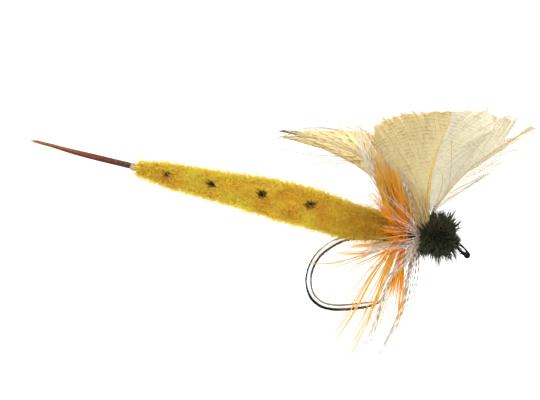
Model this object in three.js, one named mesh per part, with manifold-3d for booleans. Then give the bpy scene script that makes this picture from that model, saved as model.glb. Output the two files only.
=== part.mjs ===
// A dry fly tied as a big mayfly: hook, detached body, tail, feather wings, two hackles and a herl thorax.
// Millimetres. +X towards the hook's eye, +Z up to the wing tips, origin at the middle of the eye's hole.
import * as THREE from "three";
import { mergeVertices } from "three/addons/utils/BufferGeometryUtils.js";
import Module from "manifold-3d";

const wasm = await Module();
wasm.setup();

// ---- driving dimensions ----
const GAP = 0.03; // room between pieces that touch in the real fly
const WIRE_R = 0.25; // hook wire, 0.50 mm across
const FORGED_Y = 0.21; // half the flattened bend's thickness
const FORGED_Z = 0.29; // half the flattened bend's depth
const SHANK_Z = 1.1; // the shank's axis above the middle of the eye
const EYE_R = 0.62; // eye ring, to the middle of its wire
const EYE_WIRE_R = 0.2;
const EYE_DOWN = 47; // degrees
const THREAD_R = 0.36; // thread base on the shank
const THREAD_BORE_R = 0.28;
const BORE_R = 0.38; // bore of what is wound over the thread base
const TIE_Z = 1.34; // middle of the turns that hold the body's core on top of the shank
const CORE_R = 0.22; // stiff core of the detached body
const BODY_HINGE = [-6.55, 0, 2.02];
const BODY_DOWN = 8; // degrees that the detached body can be pressed down onto the shank
const TAIL_HINGE = [-28.4, 0, 7.18];
const TAIL_TIP = [-36.9, 0, 9.2];
const WING_SPLAY = 13; // degrees that each wing leans out from upright
const NEAR_ROOT = [-3.0, -0.38, 3.1];
const FAR_ROOT = [-2.42, 0.38, 3.2];
const REAR_ROOT = [-3.55, 0.06, 2.95];
const QUILL_R = 0.12; // a wing quill at its root
const HERL = { x: -2.1, z: 1.15, halfLength: 1.45, r: 1.55, bore: 0.97 };

const Y = new THREE.Vector3(0, 1, 0);
const X = new THREE.Vector3(1, 0, 0);
const { lerp, smoothstep, degToRad } = THREE.MathUtils;
const v = (p) => new THREE.Vector3(p[0], p[1], p[2]);
const upright = (points) => points.map(([x, z]) => new THREE.Vector3(x, 0, z));
const through = (points) => new THREE.CatmullRomCurve3(points, false, "centripetal");
const line = (a, b) => new THREE.LineCurve3(v(a), v(b));
const even = (r) => [r, r];

// ---- solids ----
// A closed manifold from a list of coordinates and faces, turned so that the faces point out.
function closed(at, faces) {
  const whole = [];
  let volume = 0;
  for (let i = 0; i < faces.length; i += 3) {
    const [a, b, c] = faces.slice(i, i + 3);
    if (a === b || b === c || c === a) continue;
    whole.push([a, b, c]);
    const [p, q, r] = [a, b, c].map((k) => new THREE.Vector3().fromArray(at, 3 * k));
    volume += p.dot(q.cross(r));
  }
  const out = volume < 0 ? whole.map(([a, b, c]) => [b, a, c]) : whole;
  const triVerts = new Uint32Array(out.flat());
  return new wasm.Manifold(new wasm.Mesh({ numProp: 3, vertProperties: new Float32Array(at), triVerts }));
}

function solidOf(geometry) {
  const bare = geometry.clone();
  bare.deleteAttribute("normal");
  bare.deleteAttribute("uv");
  const merged = mergeVertices(bare, 1e-5);
  return closed(Array.from(merged.attributes.position.array), Array.from(merged.index.array));
}

const join = (...solids) => solids.reduce((a, b) => a.add(b));
const cut = (solid, ...tools) => tools.reduce((a, b) => a.subtract(b), solid);

// A tube of one size along a curve.
function tube(curve, steps, radius, sides = 6) {
  const section = new THREE.Shape(
    Array.from({ length: sides }, (_, k) => {
      const a = (2 * Math.PI * (k + 0.5)) / sides;
      return new THREE.Vector2(radius * Math.cos(a), radius * Math.sin(a));
    }),
  );
  return solidOf(new THREE.ExtrudeGeometry(section, { steps, extrudePath: curve, bevelEnabled: false }));
}

// A piece turned about a line along X at the height z: profile is [x, radius] from one end to the other.
function turned(profile, z, sides = 12, tall = 1) {
  const [first, last] = [profile[0][0], profile.at(-1)[0]];
  const points = [[first, 0], ...profile, [last, 0]].map(([x, r]) => new THREE.Vector2(r, x));
  const turned = new THREE.LatheGeometry(points, sides).rotateZ(-Math.PI / 2);
  return solidOf(turned.scale(1, 1, tall).translate(0, 0, z));
}

const bore = (x0, x1, radius) => turned([[x0, radius], [x1, radius]], SHANK_Z);
const ball = (at, radius) => solidOf(new THREE.SphereGeometry(radius, 10, 6).translate(...at));

const circle = (sides) => Array.from({ length: sides }, (_, k) => {
  const a = (2 * Math.PI * (k + 0.5)) / sides;
  return [Math.cos(a), Math.sin(a)];
});
// eight corners, with a flat on each side of the wire
const FLATTED = [
  [1, 0.42], [0.42, 1], [-0.42, 1], [-1, 0.42], [-1, -0.42], [-0.42, -1], [0.42, -1], [1, -0.42],
];

// A section that changes size along a curve: size(t) is its half width along side, and its half depth.
function taper(curve, steps, section, size, side = Y) {
  const n = section.length;
  const at = [];
  const faces = [];
  for (let i = 0; i <= steps; i++) {
    const t = i / steps;
    const along = curve.getTangentAt(t);
    const across = side.clone().addScaledVector(along, -side.dot(along)).normalize();
    const up = along.clone().cross(across);
    const [a, b] = size(t);
    for (const [s, w] of section)
      at.push(...curve.getPointAt(t).addScaledVector(across, s * a).addScaledVector(up, w * b));
  }
  for (let i = 0; i < steps; i++)
    for (let k = 0; k < n; k++) {
      const a = i * n + k;
      const b = i * n + ((k + 1) % n);
      faces.push(a, b, b + n, a, b + n, a + n);
    }
  for (let k = 1; k + 1 < n; k++) {
    faces.push(0, k + 1, k);
    faces.push(steps * n, steps * n + k, steps * n + k + 1);
  }
  return closed(at, faces);
}

// A closed blade from its two faces, each a grid of (rows + 1) by (columns + 1) points.
function blade(upper, lower, rows, columns) {
  const w = columns + 1;
  const n = upper.length;
  const faces = [];
  for (let i = 0; i < rows; i++)
    for (let k = 0; k < columns; k++) {
      const a = i * w + k;
      const [b, c, d] = [a + 1, a + w + 1, a + w];
      faces.push(a, b, c, a, c, d, n + a, n + c, n + b, n + a, n + d, n + c);
    }
  const rim = [];
  for (let k = 0; k < columns; k++) rim.push(k);
  for (let i = 0; i < rows; i++) rim.push(i * w + columns);
  for (let k = columns; k > 0; k--) rim.push(rows * w + k);
  for (let i = rows; i > 0; i--) rim.push(i * w);
  rim.forEach((a, i) => {
    const b = rim[(i + 1) % rim.length];
    faces.push(b, a, n + a, b, n + a, n + b);
  });
  return closed([...upper, ...lower].flatMap((p) => [...p]), faces);
}

// ---- the assembly ----
const fly = new THREE.Group();
fly.name = "dry_fly";

function piece(name, solid, color, roughness, metalness = 0) {
  // a cut can leave loose slivers, which are dropped
  const [largest] = solid.decompose().sort((a, b) => b.volume() - a.volume());
  const mesh = largest.getMesh();
  const geometry = new THREE.BufferGeometry();
  geometry.setAttribute("position", new THREE.Float32BufferAttribute(mesh.vertProperties, 3));
  geometry.setIndex(Array.from(mesh.triVerts));
  geometry.computeVertexNormals();
  const node = new THREE.Mesh(geometry, new THREE.MeshStandardMaterial({ color, roughness, metalness }));
  node.name = name;
  fly.add(node);
}

// ---- hook: down-eyed ring, neck, straight shank, wide round bend, and a point that rises a little ----
const HOOK_LINE = through(upright([
  [-0.42, 0.45], [-0.75, 0.78], [-1.2, 1.03], [-1.9, SHANK_Z], [-4, SHANK_Z], [-7, SHANK_Z],
  [-9.3, 1.08], [-10.29, 0.85], [-11.48, 0.17], [-12.28, -0.55], [-12.85, -1.6], [-13.05, -2.7],
  [-12.75, -3.9], [-12.0, -4.62], [-11.0, -4.9], [-9.5, -4.88], [-7.75, -4.63], [-6.33, -4.2],
]));
const BEND_BEGINS = 0.3; // as shares of the wire's length, from the eye
const BEND_FORGED = 0.38;
const POINT_BEGINS = 0.915;
function wireSize(t, extra) {
  const forged = smoothstep(t, BEND_BEGINS, BEND_FORGED);
  const point = 1 - 0.94 * smoothstep(t, POINT_BEGINS, 1);
  const neck = lerp(0.84, 1, smoothstep(t, 0, 0.05));
  return [
    lerp(WIRE_R, FORGED_Y, forged) * neck * point + extra,
    lerp(WIRE_R, FORGED_Z, forged) * neck * point + extra,
  ];
}
const wire = (steps, extra = 0) => taper(HOOK_LINE, steps, FLATTED, (t) => wireSize(t, extra));
const eyeDown = degToRad(EYE_DOWN);
const eyeWay = v([Math.cos(eyeDown), 0, -Math.sin(eyeDown)]);
const eyeRing = new THREE.TorusGeometry(EYE_R, EYE_WIRE_R, 8, 20);
eyeRing.applyMatrix4(new THREE.Matrix4().makeBasis(eyeWay, Y, eyeWay.clone().cross(Y)));
piece("hook", join(wire(60), solidOf(eyeRing)), "#8e8f94", 0.22, 1);

// ---- thread ----
// Turns of thread round a line along X, as a ridged sleeve.
function turns(x0, x1, radius, count, z = SHANK_Z, tall = 1) {
  const profile = [];
  for (let i = 0; i <= 2 * count; i++) {
    const end = i === 0 || i === 2 * count;
    profile.push([lerp(x0, x1, i / (2 * count)), radius * (end ? 0.86 : i % 2 ? 1 : 0.955)]);
  }
  return turned(profile, z, 12, tall);
}
piece("thread_base", cut(turns(-6.75, -1.95, THREAD_R, 10), bore(-7, -1.7, THREAD_BORE_R)), "#2a2622", 0.7);

// ---- detached body ----
const BODY_LINE = through(upright([
  [-6.15, 2.0], [-7.6, 2.12], [-9.4, 2.42], [-12.4, 3.38], [-16.5, 4.46], [-20.6, 5.38], [-24.6, 6.26],
  [-27.5, 6.95],
]));
// radius at each tenth of the body's length, from the front
const BODY_R = [0.5, 1.24, 1.5, 1.58, 1.58, 1.47, 1.3, 1.16, 1.05, 0.9, 0.52];
function bodyRadius(t) {
  const along = Math.min(t, 0.9999) * (BODY_R.length - 1);
  const i = Math.floor(along);
  return lerp(BODY_R[i], BODY_R[i + 1], along - i);
}
const CORE_LINE = through([...BODY_LINE.getSpacedPoints(14), v([-28.0, 0, 7.08])]);
const coreFrom = (share, extra) =>
  tube(through(CORE_LINE.getSpacedPoints(30).slice(share * 30)), 24, CORE_R + extra, 8);
// The pile closes round the shank. A slot in it lets the body be pressed down there.
const pressed = (solid, degrees) =>
  solid.translate(BODY_HINGE.map((c) => -c)).rotate([0, degrees, 0]).translate(BODY_HINGE);
const shankSlot = [0, 0.5, 1].map((k) => pressed(wire(30, 2 * GAP), k * BODY_DOWN));
piece("body_core", coreFrom(1 / 30, 0), "#d8cfa8", 0.35);
piece(
  "body_pile",
  cut(taper(BODY_LINE, 20, circle(14), (t) => even(bodyRadius(t))), ...shankSlot, coreFrom(0, GAP)),
  "#c9a430", 0.95,
);
// the thread that binds the tail to the core's rear end
piece(
  "tail_wraps",
  cut(
    taper(line([-27.56, 0, 6.97], [-28.12, 0, 7.11]), 10, circle(12), (t) =>
      even(0.36 - 0.03 * Math.cos(10 * Math.PI * t) - 0.06 * t)),
    coreFrom(0.5, GAP / 2),
  ),
  "#b9a883", 0.8,
);

// ---- tail ----
// each strand's tip: sideways and upward from the bundle's tip, and its share of the full length
const STRANDS = [[0, 0, 1], [0.28, 0.05, 0.95], [-0.3, -0.1, 0.9], [0.12, 0.22, 0.86], [-0.1, -0.26, 0.92]];
const strands = STRANDS.map(([dy, dz, reach]) => {
  const tip = v(TAIL_HINGE).lerp(v(TAIL_TIP), reach).add(v([0, 0.8 * dy, 0.7 * dz]));
  const bow = v(TAIL_HINGE).lerp(tip, 0.5).add(v([0, 0.75 * dy, 0.6 * dz + 0.1]));
  return taper(through([v(TAIL_HINGE), bow, tip]), 6, circle(5), (t) => even(lerp(0.18, 0.02, t)));
});
piece("tail_fibres", join(ball(TAIL_HINGE, 0.24), ...strands), "#5a2f1f", 0.6);

// ---- tie-in of the detached body on the shank ----
const coreTag = (extra) =>
  taper(line([-5.95, 0, 1.72], [-4.3, 0, 1.66]), 2, circle(8), (t) => even(lerp(0.2, 0.11, t) + extra));
piece("body_core_tag", coreTag(0), "#d8cfa8", 0.35);
piece(
  "body_tie_wraps",
  cut(turns(-5.9, -4.55, 0.5, 8, TIE_Z, 1.36), bore(-6.5, -4, BORE_R), coreTag(0.02)),
  "#8a4a1c", 0.75,
);
piece(
  "hackle_gap_wraps",
  cut(turns(-4.42, -4.08, 0.46, 4, 1.22, 1.3), bore(-5, -3.5, BORE_R), coreTag(0.02)),
  "#16130f", 0.6,
);

// ---- hackles ----
const POINTS_A_TURN = 12;
function helix(x0, x1, count, wide, tall, z) {
  const last = count * POINTS_A_TURN;
  return through(
    Array.from({ length: last + 1 }, (_, i) => {
      const a = (2 * Math.PI * i) / POINTS_A_TURN;
      return v([lerp(x0, x1, i / last), wide * Math.sin(a), z + tall * Math.cos(a)]);
    }),
  );
}
// turn is the barb's angle round the shank from upright, and back is how far it leans to the bend
function barb(spine, at, turn, back, length) {
  const [a, b] = [degToRad(turn), degToRad(back)];
  const way = v([-Math.sin(b), Math.cos(b) * Math.sin(a), Math.cos(b) * Math.cos(a)]);
  const root = spine.getPoint(at).addScaledVector(way, -0.03);
  const bow = root.clone().addScaledVector(way, length / 2).add(v([0.03 * length, 0, 0]));
  const tip = root.clone().addScaledVector(way, length);
  return taper(through([root, bow, tip]), 2, circle(3), (t) => even(lerp(0.055, 0.012, t)), X);
}
// [from, to, count]: turns round the shank that leave the wings, the body and the hook's point free
const FREE_TURNS = [[62, 146, 9], [150, 174, 3], [186, 210, 3], [214, 298, 9]];
// [turn, lean, loop] of the few barbs that stand up between the wings
const UPRIGHT_BARBS = [[-3.5, 27, 0], [-1, 21, 1]];
function hackle(spine, loops, lean, length) {
  const barbs = UPRIGHT_BARBS.map(([turn, back, loop]) =>
    barb(spine, Math.max(0.001, (loop + turn / 360) / loops), turn, back, 4.6));
  let n = 0;
  for (const [from, to, count] of FREE_TURNS)
    for (let k = 0; k < count; k++) {
      const turn = lerp(from, to, (k + 0.5) / count);
      const at = ((n % (loops - 1)) + turn / 360) / loops;
      const below = Math.abs(turn - 180) < 32;
      const beside = Math.abs(Math.abs(turn - 180) - 90) < 30;
      n += 1;
      const back = (below ? 13 : lean) + 3 * (n % 4);
      const reach = length - (beside ? 2.2 : 0) + 0.4 * (n % 5);
      barbs.push(barb(spine, at, turn, back, reach));
    }
  return join(tube(spine, loops * 12, 0.06, 4), ...barbs);
}
const orangeHelix = (out) => helix(-5.85, -4.68, 4, 0.6 + out, 0.8 + out, TIE_Z);
piece("orange_hackle_quill", tube(orangeHelix(0), 40, 0.09, 5), "#b8661c", 0.5);
piece("orange_hackle_barbs", hackle(orangeHelix(0.18), 4, 30, 8.2), "#d98226", 0.6);
const grizzlyHelix = (out) => helix(-4.0, -3.62, 3, 0.5 + out, 0.5 + out, SHANK_Z);
piece("grizzly_hackle_quill", tube(grizzlyHelix(0), 30, 0.055, 5), "#b8a893", 0.5);
piece("grizzly_hackle_barbs", hackle(grizzlyHelix(0.17), 3, 24, 9.2), "#d8cbb8", 0.7);

// ---- wing and feather butts, and the thread that sets them ----
const BUTTS = {
  near_wing_butt: [[-2.85, -0.2, 1.6], NEAR_ROOT],
  far_wing_butt: [[-2.3, 0.2, 1.6], FAR_ROOT],
  rear_feather_butt: [[-3.35, 0.05, 1.62], REAR_ROOT],
};
function butt([foot, root], extra) {
  const way = v(root).sub(v(foot)).normalize();
  const top = v(root).addScaledVector(way, -QUILL_R - 2 * GAP);
  return tube(new THREE.LineCurve3(v(foot), top), 1, QUILL_R + extra, 8);
}
const buttRoom = Object.values(BUTTS).map((ends) => butt(ends, GAP));
for (const [name, ends] of Object.entries(BUTTS)) piece(name, butt(ends, 0), "#d9bf62", 0.4);
piece(
  "wing_root_wraps",
  cut(turns(-3.5, -2.1, 0.6, 8, 1.2), bore(-4, -1.6, BORE_R), ...buttRoom),
  "#1d1a16", 0.7,
);

// ---- feathers ----
// A feather in a plane that leans out from its root: a quill with a web on each side of it.
const WEB_ROWS = 11;
const WEB_COLUMNS = 4;
const CUP = 0.008; // how fast a web curves in, per square millimetre out from the quill
function feather(name, root, lean, side, quillPoints, rims, colours) {
  const slope = Math.tan(degToRad(lean));
  const place = ([x, z]) => v([x, root[1] + side * (z - root[2]) * slope, z]);
  const rachis = through([v(root), ...quillPoints.map(place)]);
  const quillR = (t) => lerp(QUILL_R, 0.035, t ** 0.8);
  piece(
    `${name}_quill`,
    join(ball(root, QUILL_R + 0.01), taper(rachis, 14, circle(6), (t) => even(quillR(t)))),
    colours.quill, 0.4,
  );
  for (const [part, points] of Object.entries(rims)) {
    const rim = through(points.map(place));
    const upper = [];
    const lower = [];
    for (let i = 0; i <= WEB_ROWS; i++) {
      const t = lerp(0.1, 0.985, i / WEB_ROWS);
      const start = rachis.getPointAt(t);
      const end = rim.getPointAt(i / WEB_ROWS);
      const reach = end.distanceTo(start);
      start.lerp(end, (quillR(t) + GAP + 0.05) / reach);
      for (let k = 0; k <= WEB_COLUMNS; k++) {
        const s = k / WEB_COLUMNS;
        const p = start.clone().lerp(end, s);
        p.y -= side * CUP * (s * reach) ** 2;
        const half = v([0, lerp(0.055, 0.03, s), 0]);
        upper.push(p.clone().add(half));
        lower.push(p.clone().sub(half));
      }
    }
    piece(`${name}_${part}`, blade(upper, lower, WEB_ROWS, WEB_COLUMNS), colours.web, 0.75);
  }
}
feather("near_wing", NEAR_ROOT, WING_SPLAY, -1, [
  [-2.8, 6.1], [-2.42, 7.9], [-1.94, 9.35], [-1.25, 11.0],
], {
  rear_web: [
    [-3.35, 3.95], [-5.0, 5.3], [-6.6, 7.3], [-7.3, 8.7],
    [-6.5, 10.3], [-5.2, 11.2], [-3.2, 11.55], [-1.5, 11.7],
  ],
  front_web: [[-2.55, 4.0], [-1.0, 6.2], [1.0, 8.6], [2.6, 10.6], [2.2, 11.5], [0.9, 11.8], [-0.8, 11.75]],
}, { quill: "#e2b93c", web: "#dccb94" });
feather("far_wing", FAR_ROOT, WING_SPLAY, 1, [
  [-1.26, 4.65], [-0.08, 5.95], [1.1, 6.98], [3.5, 8.5], [5.6, 10.0],
], {
  rear_web: [[-2.2, 4.4], [-1.9, 6.6], [-1.2, 9.4], [0.4, 11.3], [2.4, 11.7], [4.0, 11.4], [5.3, 10.9]],
  front_web: [[-1.1, 4.15], [0.4, 5.25], [2.9, 6.75], [5.1, 8.6], [6.4, 9.7], [6.3, 10.2]],
}, { quill: "#dba04a", web: "#ebe2c2" });
feather("rear_feather", REAR_ROOT, 2, 1, [
  [-4.6, 4.1], [-6.0, 5.8], [-7.8, 7.5], [-10.4, 8.75], [-13.6, 9.6],
], {
  upper_web: [
    [-4.3, 4.3], [-5.8, 6.6], [-7.6, 9.2], [-9.4, 10.2], [-11.6, 10.35], [-13.9, 10.2], [-15.2, 10.0],
  ],
  lower_web: [[-4.9, 4.0], [-6.9, 5.9], [-8.5, 7.0], [-10.1, 7.75], [-12.4, 8.7], [-14.6, 9.5]],
}, { quill: "#cfae63", web: "#dccda2" });

// ---- head: whip-finished thread behind the eye, under a coat of cement ----
// the neck between two shares of the wire's length
const neck = (from, to) =>
  through([0, 1, 2, 3, 4].map((i) => HOOK_LINE.getPointAt(lerp(from, to, i / 4))));
const WRAPS_R = 0.38;
piece(
  "head_wraps",
  cut(
    taper(neck(0.024, 0.052), 10, circle(12), (t) =>
      even(WRAPS_R - 0.02 - 0.02 * Math.cos(10 * Math.PI * t))),
    wire(60, 0.02),
  ),
  "#14120f", 0.6,
);
const coat = (extra) =>
  taper(neck(0.02, 0.056), 6, circle(12), (t) => even(0.45 - 0.05 * (2 * t - 1) ** 2 + extra));
piece("head_cement", cut(coat(0), tube(neck(0.005, 0.075), 8, WRAPS_R + 0.02, 12)), "#1b1a17", 0.12);

// ---- peacock herl thorax ----
// the last turns of the herl stems, in front of the wing roots
piece("herl_quill", tube(helix(-2.0, -1.62, 2, 0.8, 0.8, SHANK_Z), 24, 0.07, 5), "#3a3a22", 0.6);
const SLICES = 10;
const flueProfile = Array.from({ length: SLICES + 1 }, (_, i) => {
  const across = (2 * i) / SLICES - 1;
  const r = HERL.r * Math.sqrt(Math.max(0.12, 1 - Math.abs(across) ** 2.6));
  return [HERL.x + across * HERL.halfLength, r * (i % 2 ? 1.03 : 0.98)];
});
const SPIKE_ROWS = 6;
const SPIKES_A_ROW = 9;
const CLEAR_OF_WINGS = 0.55; // no spike points up more than this
const spikes = [];
for (let i = 0; i < SPIKE_ROWS; i++)
  for (let k = 0; k < SPIKES_A_ROW; k++) {
    const across = (2 * (i + 0.5)) / SPIKE_ROWS - 1;
    const a = (2 * Math.PI * (k + (i % 2) / 2)) / SPIKES_A_ROW;
    if (Math.cos(a) > CLEAR_OF_WINGS) continue;
    const r = 0.8 * HERL.r * Math.sqrt(1 - 0.8 * across * across);
    const foot = v([HERL.x + 0.8 * across * HERL.halfLength, r * Math.sin(a), HERL.z + r * Math.cos(a)]);
    const way = v([0.75 * across, Math.sin(a), Math.cos(a)]).normalize();
    const tip = foot.clone().addScaledVector(way, 0.25 * r + 0.42 + 0.14 * ((i + 2 * k) % 3));
    spikes.push(taper(new THREE.LineCurve3(foot, tip), 1, circle(3), (t) => even(lerp(0.16, 0.02, t)), X));
  }
piece(
  "herl_flue",
  cut(
    join(turned(flueProfile, HERL.z, 16), ...spikes),
    bore(-3.8, -1.5, HERL.bore), bore(-1.6, 0.2, THREAD_R + GAP), coat(GAP), wire(30, GAP), ...buttRoom,
  ),
  "#2b2c20", 0.85,
);

export default fly;
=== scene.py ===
# A dry fly tied as a big mayfly: its wire, thread, quills, barbs, golden pile and peacock herl.
# Shapes are written in millimetres, with the origin at the middle of the hook's eye, and made in metres.
import math

import bpy
import numpy as np
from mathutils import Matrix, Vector


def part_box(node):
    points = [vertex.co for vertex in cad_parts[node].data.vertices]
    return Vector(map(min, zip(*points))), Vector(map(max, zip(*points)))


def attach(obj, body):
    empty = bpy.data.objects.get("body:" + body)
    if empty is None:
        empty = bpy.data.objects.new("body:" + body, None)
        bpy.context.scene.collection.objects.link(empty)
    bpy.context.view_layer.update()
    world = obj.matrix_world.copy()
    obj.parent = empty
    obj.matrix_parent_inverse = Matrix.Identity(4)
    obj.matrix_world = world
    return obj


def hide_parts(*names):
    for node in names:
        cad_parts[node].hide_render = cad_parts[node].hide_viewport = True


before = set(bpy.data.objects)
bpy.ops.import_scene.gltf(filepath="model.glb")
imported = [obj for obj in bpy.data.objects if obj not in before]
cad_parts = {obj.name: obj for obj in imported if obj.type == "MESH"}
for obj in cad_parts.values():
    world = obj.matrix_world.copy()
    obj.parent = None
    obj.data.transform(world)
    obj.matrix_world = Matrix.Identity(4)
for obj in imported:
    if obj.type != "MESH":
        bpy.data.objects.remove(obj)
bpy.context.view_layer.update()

MM = 0.001
X = np.array((1.0, 0.0, 0.0))
Y = np.array((0.0, 1.0, 0.0))
UP = np.array((0.0, 0.0, 1.0))


def rng(seed):
    return np.random.default_rng(seed)


def box_mm(node):
    low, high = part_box(node)
    return np.array(low) / MM, np.array(high) / MM


# ======== curves ========
def spline(points, samples):
    """Points spaced evenly along a smooth curve through the given ones."""
    p = np.array(points, float)
    step = np.sqrt(np.linalg.norm(np.diff(p, axis=0), axis=1))
    knots = np.concatenate([[0], np.cumsum(np.maximum(step, 1e-6))])
    slopes = np.gradient(p, knots, axis=0)
    fine = np.linspace(0, knots[-1], 40 * len(p))
    i = np.clip(np.searchsorted(knots, fine, side="right") - 1, 0, len(p) - 2)
    h = (knots[i + 1] - knots[i])[:, None]
    t = ((fine - knots[i]) / h[:, 0])[:, None]
    dense = (
        (2 * t**3 - 3 * t**2 + 1) * p[i]
        + (t**3 - 2 * t**2 + t) * h * slopes[i]
        + (3 * t**2 - 2 * t**3) * p[i + 1]
        + (t**3 - t**2) * h * slopes[i + 1]
    )
    return along(dense, np.linspace(0, 1, samples))


def along(dense, shares):
    """The points of a polyline at these shares of its length."""
    run = np.concatenate([[0], np.cumsum(np.linalg.norm(np.diff(dense, axis=0), axis=1))])
    at = np.asarray(shares) * run[-1]
    return np.stack([np.interp(at, run, column) for column in dense.T], axis=-1)


def between(rows, shares):
    """The rows of an evenly spaced table of vectors, at these shares of the way down it."""
    places = np.linspace(0, 1, len(rows))
    return np.stack([np.interp(shares, places, column) for column in rows.T], axis=-1)


def length_of(line):
    return np.linalg.norm(np.diff(line, axis=0), axis=1).sum()


def unit(a):
    return a / np.maximum(np.linalg.norm(a, axis=-1, keepdims=True), 1e-12)


def spokes(turn, first, second):
    """Directions at these angles from the first vector towards the second."""
    turn = turn[..., None]
    return np.cos(turn) * first + np.sin(turn) * second


def bezier(a, b, c, samples):
    """Quadratic curves that start at a, are pulled towards b and end at c."""
    t = np.linspace(0, 1, samples)[None, :, None]
    a, b, c = (np.asarray(p, float)[:, None, :] for p in (a, b, c))
    return (1 - t) ** 2 * a + 2 * t * (1 - t) * b + t**2 * c


# ======== meshes ========
class Batch:
    """Collects tapered fibres, then makes them one mesh with each fibre's values on its points."""

    def __init__(self):
        self.points = []
        self.faces = []
        self.values = {}
        self.count = 0

    def add(self, paths, wide, thin=None, sides=3, **values):
        """Fibres along paths (F, K, 3), with half widths and, for flat ones, half thicknesses."""
        paths = np.asarray(paths, float)
        f, k = paths.shape[:2]
        wide = np.broadcast_to(wide, (f, k))
        thin = wide if thin is None else np.broadcast_to(thin, (f, k))
        way = unit(np.gradient(paths, axis=1))
        across = unit(np.cross(way, Y) + 1e-9)
        out = np.cross(across, way)
        start = 0.25 if sides == 3 else 0.5
        turn = math.tau * (np.arange(sides) + start) / sides
        ring = (
            paths[:, :, None]
            + across[:, :, None] * (wide[:, :, None] * np.cos(turn))[..., None]
            + out[:, :, None] * (thin[:, :, None] * np.sin(turn))[..., None]
        )
        base = self.count + (np.arange(f) * k * sides)[:, None, None]
        level = (np.arange(k - 1) * sides)[None, :, None]
        a, b = np.arange(sides), (np.arange(sides) + 1) % sides
        low, high = base + level, base + level + sides
        quads = np.stack([low + a, low + b, high + b, high + a], axis=-1).reshape(-1, 4)
        first = (base[:, 0] + a[::-1]).reshape(f, sides)
        last = (base[:, 0] + (k - 1) * sides + a).reshape(f, sides)
        self.points.append(ring.reshape(-1, 3))
        self.faces += quads.tolist() + first.tolist() + last.tolist()
        self.count += f * k * sides
        values["share"] = np.broadcast_to(np.linspace(0, 1, k), (f, k))
        for name, value in values.items():
            value = np.asarray(value, float)
            value = value[:, None] if value.ndim == 1 else value
            spread = np.repeat(np.broadcast_to(value, (f, k)).reshape(-1), sides)
            self.values.setdefault(name, []).append((self.count - f * k * sides, spread))
        return self

    def sheet(self, grid, **values):
        """A thin skin through a grid of points (F, K, 3), for barbs that are zipped together."""
        f, k = grid.shape[:2]
        n = self.count + np.arange(f * k).reshape(f, k)
        quads = np.stack([n[:-1, :-1], n[:-1, 1:], n[1:, 1:], n[1:, :-1]], axis=-1).reshape(-1, 4)
        self.points.append(grid.reshape(-1, 3))
        self.faces += quads.tolist()
        for name, value in values.items():
            full = np.broadcast_to(np.asarray(value, float), (f, k)).reshape(-1)
            self.values.setdefault(name, []).append((self.count, full))
        self.count += f * k

    def object(self, name, material):
        values = {}
        for key, runs in self.values.items():
            values[key] = np.zeros(self.count)
            for start, run in runs:
                values[key][start : start + len(run)] = run
        return smooth_object(name, np.concatenate(self.points), self.faces, material, values)


def link(name, data):
    ob = bpy.data.objects.new(name, data)
    bpy.context.scene.collection.objects.link(ob)
    return ob


def smooth_object(name, points, faces, material, values):
    """A smooth-shaded object from points in mm, with named values on its points."""
    mesh = bpy.data.meshes.new(name)
    mesh.from_pydata((points * MM).tolist(), [], faces)
    mesh.materials.append(material)
    mesh.polygons.foreach_set("use_smooth", np.ones(len(mesh.polygons), bool))
    for key, value in values.items():
        mesh.attributes.new(key, "FLOAT", "POINT").data.foreach_set("value", value.astype(np.float32))
    return link(name, mesh)


def loft(name, line, size, sides, material, side=Y, **values):
    """A closed smooth skin along a line of points. size(t, turn) gives (across, upright) offsets in mm."""
    line = np.asarray(line, float)
    k = len(line)
    way = unit(np.gradient(line, axis=0))
    across = unit(side - way * (way @ side)[:, None])
    up = np.cross(way, across)
    t = np.linspace(0, 1, k)[:, None]
    turn = (math.tau * np.arange(sides) / sides)[None]
    a, b = size(np.broadcast_to(t, (k, sides)), np.broadcast_to(turn, (k, sides)))
    ring = line[:, None] + across[:, None] * a[..., None] + up[:, None] * b[..., None]
    points = np.concatenate([ring.reshape(-1, 3), ring[0].mean(0)[None], ring[-1].mean(0)[None]])
    faces = []
    for i in range(k - 1):
        for j in range(sides):
            n = (j + 1) % sides
            faces.append((i * sides + j, i * sides + n, (i + 1) * sides + n, (i + 1) * sides + j))
    for j in range(sides):
        n = (j + 1) % sides
        faces.append((n, j, k * sides))
        faces.append(((k - 1) * sides + j, (k - 1) * sides + n, k * sides + 1))
    full = {key: np.append(np.broadcast_to(value, (k, sides)), [0, 0]) for key, value in values.items()}
    return smooth_object(name, points, faces, material, full)


def round_section(radius):
    """A round section for loft, with one radius or one worked out from the share of the line's length."""
    def size(t, turn):
        r = radius(t) if callable(radius) else radius
        return r * np.cos(turn), r * np.sin(turn)
    return size


# ======== materials ========
def rgb(code):
    """A hex colour as linear RGBA."""
    c = [int(code[i : i + 2], 16) / 255 for i in (0, 2, 4)]
    return [x / 12.92 if x <= 0.04045 else ((x + 0.055) / 1.055) ** 2.4 for x in c] + [1.0]


NOISE_ROUGHNESS = 0.55


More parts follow.
